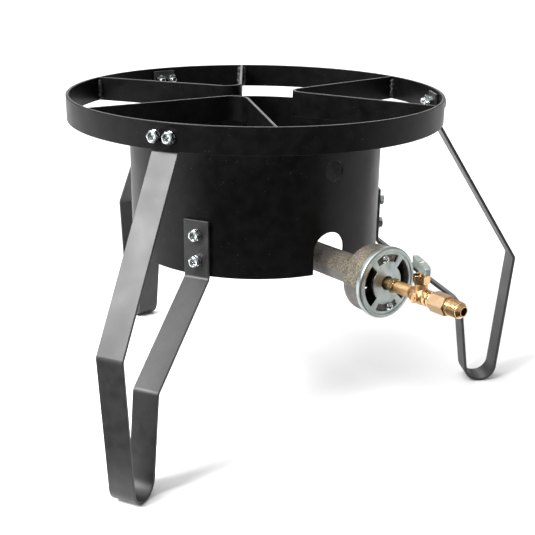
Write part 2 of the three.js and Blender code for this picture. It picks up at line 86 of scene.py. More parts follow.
# ---- fasteners --------------------------------------------------------------------------------
BOLT_RADIUS = 3.175
BOLT_FLATS = 11.1
BOLT_HEAD = 4.4
BOLT_LENGTH = 19.05
BURNER_BOLT_LENGTH = 11.0
BOLT_PITCH = 1.27
BOLT_THREAD = 0.62
NUT_HEIGHT = 5.5
WASHER_OUTER = 6.2
WASHER_HEIGHT = 1.6
HOLE = BOLT_RADIUS + 0.35

# ---- burner and shutter -----------------------------------------------------------------------
BURNER_HEIGHT = 190.7
BURNER_RISE = radians(1.89)
BELL_FACE = 221.0
BELL_BACK = 215.0
BRIDGE_TURN = radians(-8)
BRIDGE_HALF_ANGLE = radians(34)
HUB_RADIUS = 15.0
HUB_BORE = 5.6
BELL_RADIUS = 33.6
BELL_BORE = 29.2
HEAD_TOP = 258.0
HEAD_RADIUS = 56.0
PORT_ROWS = ((50, 20), (30, 10))        # the row's radius and how many ports it has
PORT_RADIUS = 2.2
BOSS_RADIUS = 12.0
BOSS_BOTTOM = 174.7
TAPPED_TOP = 182.7
CASTING_VOXEL = 0.95
GRAIN_SIZE = 2.2
GRAIN_DEPTH = 0.5
PARTING_STEP = 0.34            # the casting's upper half stands this much proud of the lower one
PARTING_STEP_WIDTH = 0.8
TUBE_RADIUS = 15.0
TUBE_BORE = 11.0
NECK_STATION = 186.5            # painted shade: the tube is darkened beside its bell, over NECK_SHADE
NECK_SHADE = 6.0
BELL_INSIDE = 30.0              # everything within this radius and past BELL_FLOOR is the bell's inside, which is painted fully shaded
BELL_FLOOR = 194.0
WINDSCREEN_SHADOW_STATION = 156.0            # painted shadow of the windscreen: the tube gets darker from here towards the head, over the fade that follows
WINDSCREEN_SHADOW_FADE = 12.0
# how dark the painted shade beside the neck and under the windscreen's shadow gets
PAINTED_SHADE_DEPTH = 0.9
CROSSBAR_FACE = 174.4
CROSSBAR_TOP = 208.0
CROSSBAR_WIDTH = 25.4
CROSSBAR_FLAT = 55.0
CROSSBAR_SHOULDER = 188.5
CROSSBAR_BEND = 5.0
CROSSBAR_WELD = (191.0, 206.0)
SHUTTER_RADIUS = 35.6
SHUTTER_FACE = 222.8
SHUTTER_BACK = 217.5
SHUTTER_SHEET = 1.5
SHUTTER_HOLE = 7.0
SHUTTER_DISH = 0.55            # the disc lies this far behind its rolled rim
WINDOW = (18.0, 28.3, radians(46))      # inner radius, outer radius, half angle
ARC_SLOT = (21.6, 28.3, radians(29))
OPENING_EDGE = 0.55
SCREW_CIRCLE = 24.9
SCREW_RADIUS = 1.9
SCREW_PITCH = 0.8
SCREW_THREAD = 0.35
SCREW_LENGTH = 12.0

# ---- welds and edges ---------------------------------------------------------------------------
SUPPORT_BEAD = 2.9
CROSSBAR_BEAD = 1.7
BEAD_STEP = 0.45
BEAD_SIDES = 14
RIPPLE_LENGTH = 1.9
SHEET_EDGE = 0.45
ARCH_EDGE = 0.4

# ---- brass ------------------------------------------------------------------------------------
HOLDER_TIP = 201.0
HOLDER_NIPPLE_RADIUS = 5.1
HOLDER_HEXAGON = (229.0, 235.5)
HOLDER_FLATS = 12.7
SPIGOT_RADIUS = 4.4
SPIGOT_END = 245.0
BARREL_START = 236.2
BARREL_RADIUS = 6.1
SWELL_RADIUS = 8.2
BODY_VOXEL = 0.32
VALVE_STATION = 268.0
VALVE_END = 280.4
COLLAR_RADIUS = 7.95
GAS_BORE = 2.6
ADAPTER_BORE = 3.9
ADAPTER_HEXAGON = (285.2, 303.8)
ADAPTER_FLATS = 17.5
FLARE_RADIUS = 7.94
FLARE_THREAD = (306.3, 317.4)
FLARE_PITCH = 1.41
FLARE_TIP = 322.1
PACKING_NUT = (12.25, 21.0)
PACKING_NUT_FLATS = 14.3
PLUG_RADIUS = 3.9
STEM_RADIUS = 2.5
STEM_TOP = 32.6
STEM_BORE = 2.75               # the lever's socket for the stem
LEVER_VOXEL = 0.3
LEVER_TURN = radians(27.5)
LEVER_ENDS = (-22.6, 18.6)
LEVER_BOTTOM = 25.2
LEVER_TOP = 33.0
LEVER_PIN_HEIGHT = 29.0
LEVER_HALF_WIDTH = 3.9

# ---- frames of the groups ---------------------------------------------------------------------
RING = Matrix.Translation((0, AXIS_Y, 0))
TRAIN = (Matrix.Translation((0, AXIS_Y, BURNER_HEIGHT))
         @ Matrix.Rotation(radians(90) - BURNER_RISE, 4, "X"))
BONNET = TRAIN @ Matrix.Translation((0, 0, VALVE_STATION)) @ Matrix.Rotation(radians(-90), 4, "X")
TURNING = BONNET @ Matrix.Rotation(radians(-90) - LEVER_TURN, 4, "Z")


def station(angle):
    return RING @ Matrix.Rotation(radians(angle), 4, "Z")


# ---- lines ------------------------------------------------------------------------------------
def fillet(corners, step=radians(7.5), closed=False):
    """Corners (x, y) or (x, y, radius) to points, each corner with a radius turned into an arc."""
    points = []
    count = len(corners)
    for i, corner in enumerate(corners):
        here = Vector(corner[:2])
        radius = corner[2] if len(corner) > 2 else 0
        if radius == 0 or (not closed and i in (0, count - 1)):
            points.append(tuple(here))
            continue
        back = (Vector(corners[i - 1][:2]) - here).normalized()
        ahead = (Vector(corners[(i + 1) % count][:2]) - here).normalized()
        half = math.acos(max(-1, min(1, back.dot(ahead)))) / 2
        if half > radians(89.5):
            points.append(tuple(here))
            continue
        centre = here + (back + ahead).normalized() * (radius / math.sin(half))
        start = here + back * (radius / math.tan(half)) - centre
        end = here + ahead * (radius / math.tan(half)) - centre
        first = math.atan2(start.y, start.x)
        turn = (math.atan2(end.y, end.x) - first + math.pi) % (2 * math.pi) - math.pi
        steps = max(2, math.ceil(abs(turn) / step))
        for k in range(steps + 1):
            angle = first + turn * k / steps
            points.append((centre.x + radius * math.cos(angle), centre.y + radius * math.sin(angle)))
    return points


def arc(centre, radius, start, end, steps):
    return [(centre[0] + radius * math.cos(start + (end - start) * k / steps),
             centre[1] + radius * math.sin(start + (end - start) * k / steps)) for k in range(steps + 1)]


# ---- mesh parts: (vertices in mm, faces) --------------------------------------------------------
def lathe(profile, sides=96, loop=False):
    """A solid of revolution about +Z. A closed loop makes a ring, and a point at radius 0 is a pole."""
    verts, faces, rings = [], [], []
    for radius, height in profile:
        if radius < 1e-6:
            rings.append([len(verts)])
            verts.append((0, 0, height))
            continue
        rings.append(list(range(len(verts), len(verts) + sides)))
        for k in range(sides):
            angle = 2 * math.pi * k / sides
            verts.append((radius * math.cos(angle), radius * math.sin(angle), height))
    for low, high in zip(rings, rings[1:] + (rings[:1] if loop else [])):
        for k in range(sides):
            n = (k + 1) % sides
            if len(low) == 1 and len(high) == 1:
                break
            if len(low) == 1:
                faces.append((low[0], high[n], high[k]))
            elif len(high) == 1:
                faces.append((low[k], low[n], high[0]))
            else:
                faces.append((low[k], low[n], high[n], high[k]))
    return verts, faces


def loft(rings, closed=False):
    """Quads between rings of equally many points, with flat ends unless the rings close on themselves."""
    size = len(rings[0])
    verts = [tuple(p) for ring in rings for p in ring]
    faces = []
    for i in range(len(rings) - (0 if closed else 1)):
        a, b = i * size, (i + 1) % len(rings) * size
        faces += [(a + k, a + (k + 1) % size, b + (k + 1) % size, b + k) for k in range(size)]
    if not closed:
        faces += [tuple(range(size)), tuple(range(len(verts) - 1, len(verts) - size - 1, -1))]
    return verts, faces


def rod(radius, low, high, sides=32):
    return lathe([(0, low), (radius, low), (radius, high), (0, high)], sides)


def hexagon(flats, low, high):
    return rod(flats / 2 / math.cos(radians(30)), low, high, 6)


def section(thickness, width, edge):
    """A flat bar's section with rounded edges, as (across the thickness, across the width)."""
    x, y = thickness / 2, width / 2
    return fillet([(-x, -y, edge), (x, -y, edge), (x, y, edge), (-x, y, edge)], radians(22.5), True)


def strip(line, thickness, width, edge=BAR_EDGE):
    """A flat bar whose middle follows a line in the XZ plane. Its width lies along Y."""
    points = [Vector(p) for p in line]
    stations = rounded_end(points[0], points[1], edge)
    stations += [(p, 0) for p in points[1:-1]]
    stations += rounded_end(points[-1], points[-2], edge)[::-1]
    rings = []
    for i, (p, shrink) in enumerate(stations):
        before = stations[max(i - 1, 0)][0]
        after = stations[min(i + 1, len(stations) - 1)][0]
        incoming = (p - before) if (p - before).length > 1e-6 else (after - p)
        outgoing = (after - p) if (after - p).length > 1e-6 else incoming
        incoming, outgoing = incoming.normalized(), outgoing.normalized()
        middle = (incoming + outgoing).normalized()
        reach = 1 / max(0.2, middle.dot(incoming))
        normal = Vector((-middle.y, middle.x)) * reach
        rings.append([(p.x + normal.x * a, b, p.y + normal.y * a)
                      for a, b in section(thickness - 2 * shrink, width - 2 * shrink, edge - shrink * 0.98)])
    return loft(rings)


def rounded_end(outer, inner, edge):
    """Stations that round off a bar's end: (point, how much the section shrinks)."""
    away = (inner - outer).normalized()
    return [(outer + away * edge * (1 - math.sin(t)), edge * (1 - math.cos(t)))
            for t in map(radians, (88, 60, 30, 0))]


def threaded(radius, pitch, depth, low, high, sides=32, point=0.8, runout=0.0):
    """A threaded rod: the radius waves with height and angle. It tapers off at both ends."""
    rows = max(2, round((high - low) / pitch * 8))
    rings = []
    for i in range(rows + 1):
        z = low + (high - low) * i / rows
        ring = []
        for k in range(sides):
            share = (z / pitch - k / sides) % 1
            cut = depth * (1 - min(1, max(0, abs(2 * share - 1) * 1.5 - 0.25)))
            limit = min(radius, radius - point + max(0, high - z))
            if runout:
                cut *= min(1, max(0, (z - low) / runout))
            r = min(radius - cut, limit)
            angle = 2 * math.pi * k / sides
            ring.append((r * math.cos(angle), r * math.sin(angle), z))
        rings.append(ring)
    return loft(rings)


def moved(part, matrix):
    verts, faces = part
    return [tuple(matrix @ Vector(v)) for v in verts], faces


def together(*parts):
    """Several parts as one mesh, without joining them."""
    verts, faces = [], []
    for part_verts, part_faces in parts:
        offset = len(verts)
        verts += part_verts
        faces += [tuple(i + offset for i in face) for face in part_faces]
    return verts, faces


# ---- solids: booleans, remeshing and bevels on temporary objects --------------------------------
def solid(part, name="solid"):
    mesh = bpy.data.meshes.new(name)
    mesh.from_pydata([Vector(v) for v in part[0]], [], part[1])
    bm = bmesh.new()
    bm.from_mesh(mesh)
    bmesh.ops.recalc_face_normals(bm, faces=bm.faces)
    bm.to_mesh(mesh)
    bm.free()
    item = bpy.data.objects.new(name, mesh)
    bpy.context.scene.collection.objects.link(item)
    return item


def applied(item):
    """Replaces the object's mesh by what its modifiers make of it."""
    graph = bpy.context.evaluated_depsgraph_get()
    graph.update()
    mesh = bpy.data.meshes.new_from_object(item.evaluated_get(graph))
    old = item.data
    item.modifiers.clear()
    item.data = mesh
    bpy.data.meshes.remove(old)
    return item


def boolean(item, operation, *parts):
    for part in parts:
        tool = solid(part, "tool")
        modifier = item.modifiers.new("boolean", "BOOLEAN")
        modifier.operation = operation
        modifier.solver = "EXACT"
        modifier.object = tool
        applied(item)
        bpy.data.objects.remove(tool)
    return item


def taken(item):
    """The mesh part of a working solid, which is removed."""
    part = ([tuple(v.co) for v in item.data.vertices], [tuple(p.vertices) for p in item.data.polygons])
    bpy.data.objects.remove(item)
    return part


def cut(item, *parts):
    return boolean(item, "DIFFERENCE", *parts)


def bevelled(item, width, segments=2, angle=30):
    modifier = item.modifiers.new("bevel", "BEVEL")
    modifier.width = width
    modifier.segments = segments
    modifier.limit_method = "ANGLE"
    modifier.angle_limit = radians(angle)
    return applied(item)


def remeshed(item, voxel, smoothing=2):
    modifier = item.modifiers.new("remesh", "REMESH")
    modifier.mode = "VOXEL"
    modifier.voxel_size = voxel
    applied(item)
    if smoothing:
        modifier = item.modifiers.new("smooth", "SMOOTH")
        modifier.factor = 0.5
        modifier.iterations = smoothing
        applied(item)
    return item


def displaced(item, size, depth):
    texture = bpy.data.textures.new("grain", "CLOUDS")
    texture.noise_scale = size
    texture.noise_depth = 3
    modifier = item.modifiers.new("grain", "DISPLACE")
    modifier.texture = texture
    modifier.strength = depth
    modifier.mid_level = 0.5
    return applied(item)


def finished(item, name, matrix, body, material, replaced=(), sharp=32):
    """Turns a working solid in mm into a named piece in metres that rides on a body."""
    item.data.transform(Matrix.Scale(MM, 4) @ matrix)
    item.name = name
    item.data.name = name
    item.data.materials.clear()
    item.data.materials.append(material)
    item.data.shade_smooth()
    item.data.set_sharp_from_angle(angle=radians(sharp))
    normals = item.modifiers.new("normals", "WEIGHTED_NORMAL")
    normals.keep_sharp = True
    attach(item, body)
    if replaced:
        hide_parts(*replaced)
    return item


# ---- materials ----------------------------------------------------------------------------------
class Finish:
    """A Principled material built from noise, ramps and bumps in the object's own space."""

    def __init__(self, name, metallic, **sockets):
        self.material = bpy.data.materials.new(name)
        self.material.use_nodes = True
        self.tree = self.material.node_tree
        self.shader = self.tree.nodes["Principled BSDF"]
        self.shader.inputs["Metallic"].default_value = metallic
        for socket, value in sockets.items():
            self.shader.inputs[socket.replace("_", " ")].default_value = value
        self.place = self.tree.nodes.new("ShaderNodeTexCoord").outputs["Object"]
        self.normal = None

    def noise(self, scale, detail=3.0, stretch=None, roughness=0.5):
        node = self.tree.nodes.new("ShaderNodeTexNoise")
        node.inputs["Scale"].default_value = scale
        node.inputs["Detail"].default_value = detail
        node.inputs["Roughness"].default_value = roughness
        place = self.place
        if stretch:
            mapping = self.tree.nodes.new("ShaderNodeMapping")
            mapping.inputs["Scale"].default_value = stretch
            self.tree.links.new(place, mapping.inputs["Vector"])
            place = mapping.outputs["Vector"]
        self.tree.links.new(place, node.inputs["Vector"])
        return node.outputs["Fac"]

    def ramp(self, value, *stops):
        node = self.tree.nodes.new("ShaderNodeValToRGB")
        elements = node.color_ramp.elements
        while len(elements) < len(stops):
            elements.new(0.5)
        for element, (position, colour) in zip(elements, stops):
            colour = (colour,) * 3 if isinstance(colour, (int, float)) else colour
            element.position = position
            element.color = (*colour, 1)
        self.tree.links.new(value, node.inputs["Fac"])
        return node.outputs["Color"]

    def mix(self, share, first, second):
        """Between two colours, or values or outputs used as colours."""
        node = self.tree.nodes.new("ShaderNodeMix")
        node.data_type = "RGBA"
        self.tree.links.new(share, node.inputs["Factor"])
        for value, socket in ((first, node.inputs[6]), (second, node.inputs[7])):
            if isinstance(value, tuple):
                socket.default_value = (*value, 1)
            else:
                self.tree.links.new(value, socket)
        return node.outputs[2]

    def multiply(self, first, second):
        node = self.tree.nodes.new("ShaderNodeMix")
        node.data_type = "RGBA"
        node.blend_type = "MULTIPLY"
        node.inputs["Factor"].default_value = 1
        self.tree.links.new(first, node.inputs[6])
        self.tree.links.new(second, node.inputs[7])
        return node.outputs[2]

    def attribute(self, name):
        node = self.tree.nodes.new("ShaderNodeAttribute")
        node.attribute_name = name
        return node.outputs["Fac"]

    def colour(self, output):
        self.tree.links.new(output, self.shader.inputs["Base Color"])
        return self

    def rough(self, output):
        self.tree.links.new(output, self.shader.inputs["Roughness"])
        return self

    def bump(self, height, distance, strength=1.0):
        node = self.tree.nodes.new("ShaderNodeBump")
        node.inputs["Strength"].default_value = strength
        node.inputs["Distance"].default_value = distance
        self.tree.links.new(height, node.inputs["Height"])
        if self.normal:
            self.tree.links.new(self.normal, node.inputs["Normal"])
        self.normal = node.outputs["Normal"]
        self.tree.links.new(self.normal, self.shader.inputs["Normal"])
        return self


def black_paint(name, ior, dark, light, low, high):
    """Satin black powder coat with a fine grain and a few light specks of dust in it."""
    finish = Finish(name, 0.0, IOR=ior)
    tone = finish.ramp(finish.noise(90), (0.3, dark), (0.7, light))
    specks = finish.ramp(finish.noise(750, 1), (0.755, 0), (0.79, 1))
    finish.colour(finish.mix(specks, tone, (0.07, 0.066, 0.06)))
    finish.rough(finish.ramp(finish.noise(45, 5), (0.3, low), (0.7, high)))
    finish.bump(finish.noise(1100, 3), 0.00003)
    finish.bump(finish.noise(60, 2), 0.0001, 0.5)
    return finish.material


def weld_paint():
    finish = Finish("painted_weld", 0.0, IOR=1.4)
    finish.colour(finish.ramp(finish.noise(400), (0.35, 0.008), (0.7, (0.03, 0.028, 0.026))))
    finish.rough(finish.ramp(finish.noise(200), (0.3, 0.3), (0.7, 0.5)))
    finish.bump(finish.noise(700, 4), 0.0002)
    return finish.material


def zinc_plate():
    finish = Finish("bright_zinc", 1.0)
    finish.colour(finish.ramp(finish.noise(260, 4), (0.3, (0.36, 0.40, 0.42)), (0.55, (0.56, 0.60, 0.61)),
                              (0.75, (0.62, 0.62, 0.50))))
    finish.rough(finish.ramp(finish.noise(500, 3), (0.3, 0.14), (0.7, 0.26)))
    finish.bump(finish.noise(900, 3), 0.00003)
    return finish.material


def shutter_zinc():
    finish = Finish("dull_zinc_sheet", 1.0)
    blotch = finish.noise(70, 6, roughness=0.62)
    finish.colour(finish.ramp(blotch, (0.32, (0.27, 0.305, 0.30)), (0.5, (0.36, 0.40, 0.385)),
                              (0.7, (0.44, 0.465, 0.44))))
    finish.rough(finish.ramp(finish.noise(160, 6), (0.3, 0.30), (0.7, 0.46)))
    finish.bump(finish.noise(500, 4), 0.00004)
    finish.bump(finish.noise(60, 2, (1, 1, 14)), 0.00004, 0.6)
    return finish.material


def lever_zinc():
    finish = Finish("die_cast_zinc", 0.75)
    finish.colour(finish.ramp(finish.noise(420, 5), (0.3, (0.22, 0.26, 0.25)), (0.7, (0.36, 0.41, 0.39))))
    finish.rough(finish.ramp(finish.noise(300, 4), (0.3, 0.42), (0.7, 0.6)))
    finish.bump(finish.noise(900, 5), 0.0001)
    return finish.material


def cast_iron():
    finish = Finish("sand_cast_iron", 0.35)
    grain = finish.noise(820, 6, roughness=0.7)
    top = finish.ramp(grain, (0.38, (0.055, 0.045, 0.032)), (0.5, (0.125, 0.106, 0.078)),
                      (0.63, (0.34, 0.30, 0.23)))
    bottom = finish.ramp(grain, (0.3, (0.075, 0.07, 0.064)), (0.7, (0.17, 0.16, 0.148)))
    mottle = finish.ramp(finish.noise(55, 3), (0.35, 0.6), (0.65, 1.0))
    # painted shade darkens the iron's mottled tone inside the bell, beside its neck and under the
    # windscreen's shadow
    mottle_and_shade = finish.mix(finish.attribute("painted_shade"), mottle, (0.13, 0.12, 0.11))
    tone = finish.mix(finish.attribute("upper_half"), bottom, top)
    finish.colour(finish.multiply(tone, mottle_and_shade))
    finish.rough(finish.ramp(grain, (0.3, 0.72), (0.7, 0.42)))
    finish.bump(finish.noise(650, 6, roughness=0.7), 0.0009, 0.7)
    return finish.material


def brass(name, light, dark, low, high, grain=0.00003, stretch=None):
    finish = Finish(name, 1.0)
    finish.colour(finish.ramp(finish.noise(220, 4), (0.3, dark), (0.7, light)))
    finish.rough(finish.ramp(finish.noise(380, 4, stretch), (0.3, low), (0.7, high)))
    finish.bump(finish.noise(1300, 3, stretch), grain)
    return finish.material


def packing_white():
    finish = Finish("packing_ring", 0.0)
    finish.colour(finish.ramp(finish.noise(500), (0.3, (0.74, 0.73, 0.70)), (0.7, (0.86, 0.85, 0.82))))
    finish.bump(finish.noise(1200, 2), 0.00005)
    return finish.material


PAINT = black_paint("black_powder_coat", 1.22, 0.0015, 0.004, 0.34, 0.42)
STRAP_PAINT = black_paint("black_strap_coat", 1.5, 0.010, 0.019, 0.42, 0.5)
WELD = weld_paint()
ZINC = zinc_plate()
SHUTTER = shutter_zinc()
LEVER = lever_zinc()
IRON = cast_iron()
PACKING = packing_white()
BRASS_TURNED = brass("turned_brass", (0.74, 0.49, 0.26), (0.60, 0.37, 0.17), 0.2, 0.3)
BRASS_HEX = brass("drawn_brass", (0.76, 0.55, 0.28), (0.58, 0.39, 0.17), 0.2, 0.32, 0.00005)
BRASS_BLANK = brass("milled_brass", (0.43, 0.305, 0.185), (0.36, 0.25, 0.145), 0.42, 0.56, 0.0001)
BRASS_FORGED = brass("forged_brass", (0.60, 0.39, 0.21), (0.49, 0.30, 0.14), 0.34, 0.48, 0.00012)


# ---- ring, supports, windscreen, legs -----------------------------------------------------------
def pot_ring():
    middle = (RING_RADIUS - BAR / 2, STAND_HEIGHT - RING_HEIGHT / 2)
    profile = [(middle[0] + x, middle[1] + y) for x, y in section(BAR, RING_HEIGHT, BAR_EDGE)]
    item = solid(lathe(profile, 288, loop=True))
    finished(item, "pot_ring_bar", RING, "stand", PAINT, ["pot_ring"])


def support_line(reach):
    end = (reach * math.cos(SUPPORT_HALF_ANGLE), reach * math.sin(SUPPORT_HALF_ANGLE))
    return fillet([end, (SUPPORT_APEX, 0, SUPPORT_BEND), (end[0], -end[1])], radians(4))


def bead(foot, top, radius, seed):
    """A weld bead between two points: a lumpy rod with the ripples of its runs."""
    foot, top = Vector(foot), Vector(top)
    along = (top - foot).normalized()
    side = along.orthogonal().normalized()
    other = along.cross(side)
    length = (top - foot).length
    rows = max(6, round(length / BEAD_STEP))
    rings = []
    for i in range(rows + 1):
        share = i / rows
        end = min(1, math.sin(math.pi * share) * 3 + 0.15) ** 0.5
        ring = []
        middle = foot + along * length * share
        for k in range(BEAD_SIDES):
            angle = 2 * math.pi * k / BEAD_SIDES
            way = side * math.cos(angle) + other * math.sin(angle)
            lump = noise.noise((middle + way * radius) * 0.45 + Vector((seed, 0, 0)))
            ripple = 0.07 * math.sin(2 * math.pi * share * length / RIPPLE_LENGTH + math.cos(angle))
            ring.append(middle + way * radius * end * (1 + 0.5 * lump + ripple))
        rings.append(ring)
    return loft(rings)


def pot_support(number, angle):
    line = support_line(RING_RADIUS - BAR + 0.6)
    bar = moved(strip(line, BAR, RING_HEIGHT), Matrix.Rotation(radians(90), 4, "X"))
    item = solid(bar)
    up = Matrix.Translation((0, 0, STAND_HEIGHT - RING_HEIGHT / 2))
    finished(item, f"pot_support_{number}_bar", station(angle) @ up, "stand", PAINT,
             [f"pot_support_{number}"])
    inside = RING_RADIUS - BAR
    beads = []
    for turn in (-1, 1):
        for side in (-1, 1):
            spot = turn * SUPPORT_HALF_ANGLE + side * (BAR / 2 + 0.9) / inside
            x, y = (inside - 0.9) * math.cos(spot), (inside - 0.9) * math.sin(spot)
            low = STAND_HEIGHT - RING_HEIGHT + random.uniform(1, 3)
            high = STAND_HEIGHT - random.uniform(1.5, 3.5)
            beads.append(bead((x, y, low), (x, y, high), SUPPORT_BEAD, number * 9 + turn * 3 + side))
    finished(solid(together(*beads)), f"weld_support_{number}", station(angle), "stand",
             WELD, sharp=60)


def wrapped(part, radius):
    """Bends a part that was made flat (x along the sheet, y outwards, z up) round the windscreen."""
    verts, faces = part
    bent = []
    for x, y, z in verts:
        angle = radians(-90) + x / radius
        bent.append(((radius + y) * math.cos(angle), (radius + y) * math.sin(angle), z))
    return bent, faces


def sheet_cutter(outline, thickness, edge):
    """A cutter through a sheet. outline(grow) gives its outline; the sheet's edges come out rounded."""
    half = thickness / 2
    stations = [(-half - 3.0, edge)] + [
        (-half + edge * (1 - math.cos(t)), edge * (1 - math.sin(t))) for t in map(radians, (0, 30, 60, 90))]
    stations += [(-y, grow) for y, grow in reversed(stations)]
    return loft([[(x, y, z) for x, z in outline(grow)] for y, grow in stations])


def windscreen():
    middle = SCREEN_RADIUS - SCREEN_SHEET / 2
    height = SCREEN_BOTTOM + SCREEN_HEIGHT / 2
    profile = [(middle + x, height + y) for x, y in section(SCREEN_SHEET, SCREEN_HEIGHT, SHEET_EDGE)]
    item = solid(lathe(profile, 360, loop=True))
    springing = SLOT_TOP - SLOT_WIDTH / 2

    def arch(grow):
        half = SLOT_WIDTH / 2 + grow
        sides = [(half, SCREEN_BOTTOM - 10), (half, SCREEN_BOTTOM + 8), (half, springing - 8)]
        bottom = [(-half + 2 * half * k / 20, SCREEN_BOTTOM - 10) for k in range(1, 20)]
        return (sides + arc((0, springing), half, 0, math.pi, 40)
                + [(-x, z) for x, z in reversed(sides)] + bottom)

    def round_hole(grow):
        return arc((0, LIGHT_HOLE_HEIGHT), LIGHT_HOLE_RADIUS + grow, 0, 2 * math.pi, 64)[:-1]

    for shape, turn in ((arch, SLOT_TURN), (round_hole, 0)):
        tool = wrapped(sheet_cutter(shape, SCREEN_SHEET, ARCH_EDGE), middle)
        cut(item, moved(tool, Matrix.Rotation(turn, 4, "Z")))
    finished(item, "windscreen_sheet", RING, "stand", PAINT, ["windscreen"])


RING_TAB = math.sqrt((RING_RADIUS - BAR) ** 2 - (LEG_WIDTH / 2) ** 2) - GAP - BAR / 2
SCREEN_TAB = SCREEN_RADIUS + GAP + BAR / 2


def leg_line():
    foot = Vector((FOOT_REACH, FOOT_BEND * math.cos(FOOT_FLAT) + BAR / 2))
    outer, inner = Vector(OUTER_KNEE), Vector(INNER_KNEE)

    def touching(knee, turn):
        away = knee - foot
        return math.atan2(away.y, away.x) + turn * math.acos(FOOT_BEND / away.length)

    curve = arc(foot, FOOT_BEND, touching(outer, -1), radians(-90) + FOOT_FLAT, 16)
    curve += arc(foot, FOOT_BEND, radians(-90) - FOOT_FLAT, touching(inner, 1) - 2 * math.pi, 16)
    upper = fillet([(RING_TAB, STAND_HEIGHT - LEG_TOP_DROP), (RING_TAB, LEG_TOP_BEND, KNEE_BEND),
                    (*OUTER_KNEE, KNEE_BEND), curve[0]])
    lower = fillet([curve[-1], (*INNER_KNEE, KNEE_BEND), (SCREEN_TAB, TAB_BEND_HEIGHT, KNEE_BEND),
                    (SCREEN_TAB, TAB_TOP)])
    return upper + curve[1:-1] + lower


def leg(number, angle):
    item = solid(strip(leg_line(), BAR, LEG_WIDTH))
    finished(item, f"leg_{number}_strap", station(angle), "stand", STRAP_PAINT,
             [f"leg_{number}"])


# ---- fasteners, along +Z with the head up --------------------------------------------------------
def phillips(width, length, depth, bottom):
    """A cross recess as a cutter, widest at its mouth."""
    blades = []
    for turn in (0, 90):
        rings = []
        for z, share in ((bottom, 0.35), (bottom + depth, 1.0), (bottom + depth + 1, 1.2)):
            x, y = length / 2 * share, width / 2 * (0.6 + 0.4 * share)
            rings.append([(-x, -y, z), (x, -y, z), (x, y, z), (-x, y, z)])
        blades.append(moved(loft(rings), Matrix.Rotation(radians(turn), 4, "Z")))
    return blades


def bolt_mesh(length, cross=True):
    radius = BOLT_FLATS / 2
    item = solid(hexagon(BOLT_FLATS, 0, BOLT_HEAD))
    crown = lathe([(0, -1), (radius + 2, -1), (radius + 2, BOLT_HEAD - 1.6),
                   (radius + 0.35, BOLT_HEAD - 0.75), (radius - 0.35, BOLT_HEAD - 0.2),
                   (radius - 0.9, BOLT_HEAD), (0, BOLT_HEAD)], 48)
    boolean(item, "INTERSECT", crown)
    if cross:
        dish = lathe([(0, BOLT_HEAD - 0.75), (3.0, BOLT_HEAD - 0.75), (3.7, BOLT_HEAD - 0.45),
                      (4.0, BOLT_HEAD + 0.1), (4.0, BOLT_HEAD + 1), (0, BOLT_HEAD + 1)], 40)
        cut(item, dish, *phillips(1.25, 5.4, 2.2, BOLT_HEAD - 2.9))
    bevelled(item, 0.16, 2, 40)
    shank = threaded(BOLT_RADIUS, BOLT_PITCH, BOLT_THREAD, 0, length, 28)
    shank = moved(shank, Matrix.Rotation(radians(180), 4, "X") @ Matrix.Translation((0, 0, -0.3)))
    return together(taken(item), shank)


def nut_mesh():
    radius = BOLT_FLATS / 2
    item = solid(hexagon(BOLT_FLATS, 0, NUT_HEIGHT))
    barrel = lathe([(0, 0), (radius - 0.3, 0), (radius + 0.9, 0.75), (radius + 0.9, NUT_HEIGHT - 0.75),
                    (radius - 0.3, NUT_HEIGHT), (0, NUT_HEIGHT)], 48)
    boolean(item, "INTERSECT", barrel)
    bore = lathe([(0, -1), (HOLE + 1.2, -0.8), (HOLE - 0.1, 0.5), (HOLE - 0.1, NUT_HEIGHT - 0.5),
                  (HOLE + 1.2, NUT_HEIGHT + 0.8), (0, NUT_HEIGHT + 1)], 32)
    cut(item, bore)
    bevelled(item, 0.15, 2, 40)
    return taken(item)


def washer_mesh():
    """A split lock washer: a square coil whose ends stand slightly apart."""
    middle = (WASHER_OUTER + HOLE) / 2
    width = WASHER_OUTER - HOLE
    rings = []
    for k in range(45):
        share = k / 44
        angle = radians(7 + 346 * share)
        lift = 0.16 * (share - 0.5)
        flat = section(width, WASHER_HEIGHT - 0.16, 0.25)
        rings.append([((middle + a) * math.cos(angle), (middle + a) * math.sin(angle),
                       WASHER_HEIGHT / 2 + b + lift) for a, b in flat])
    return loft(rings)


BOLT_MESH = bolt_mesh(BOLT_LENGTH)
BURNER_BOLT_MESH = bolt_mesh(BURNER_BOLT_LENGTH, cross=False)
NUT_MESH = nut_mesh()
WASHER_MESH = washer_mesh()


def fastener(part, node, matrix, height):
    spin = Matrix.Rotation(random.uniform(0, 2 * math.pi), 4, "Z")
    place = matrix @ Matrix.Translation((0, 0, height)) @ spin
    finished(solid(part), f"{node}_plated", place, "stand", ZINC, [node], sharp=35)


def bolt_set(label, matrix, y, height, outer_face, inner_face):
    place = matrix @ Matrix.Translation((0, y, height)) @ Matrix.Rotation(radians(90), 4, "Y")
    fastener(WASHER_MESH, f"lock_washer_{label}", place, outer_face + GAP)
    fastener(BOLT_MESH, f"bolt_{label}", place, outer_face + WASHER_HEIGHT + 2 * GAP)
    fastener(NUT_MESH, f"nut_{label}", place, inner_face - GAP - NUT_HEIGHT)


# ---- burner --------------------------------------------------------------------------------------
def sector(inner, outer, middle, half, low, high, steps=24):
    outline = (arc((0, 0), outer, middle - half, middle + half, steps)
               + arc((0, 0), inner, middle + half, middle - half, steps))
    return loft([[(x, y, z) for x, y in outline] for z in (low, high)])


def along_tube(part):
    turn = Matrix.Translation((0, 0, BURNER_HEIGHT)) @ Matrix.Rotation(radians(90) - BURNER_RISE, 4, "X")
    return moved(part, turn)


def screw_places():
    return [(SCREW_CIRCLE * math.sin(side + BRIDGE_TURN), SCREW_CIRCLE * math.cos(side + BRIDGE_TURN))
            for side in (0, math.pi)]


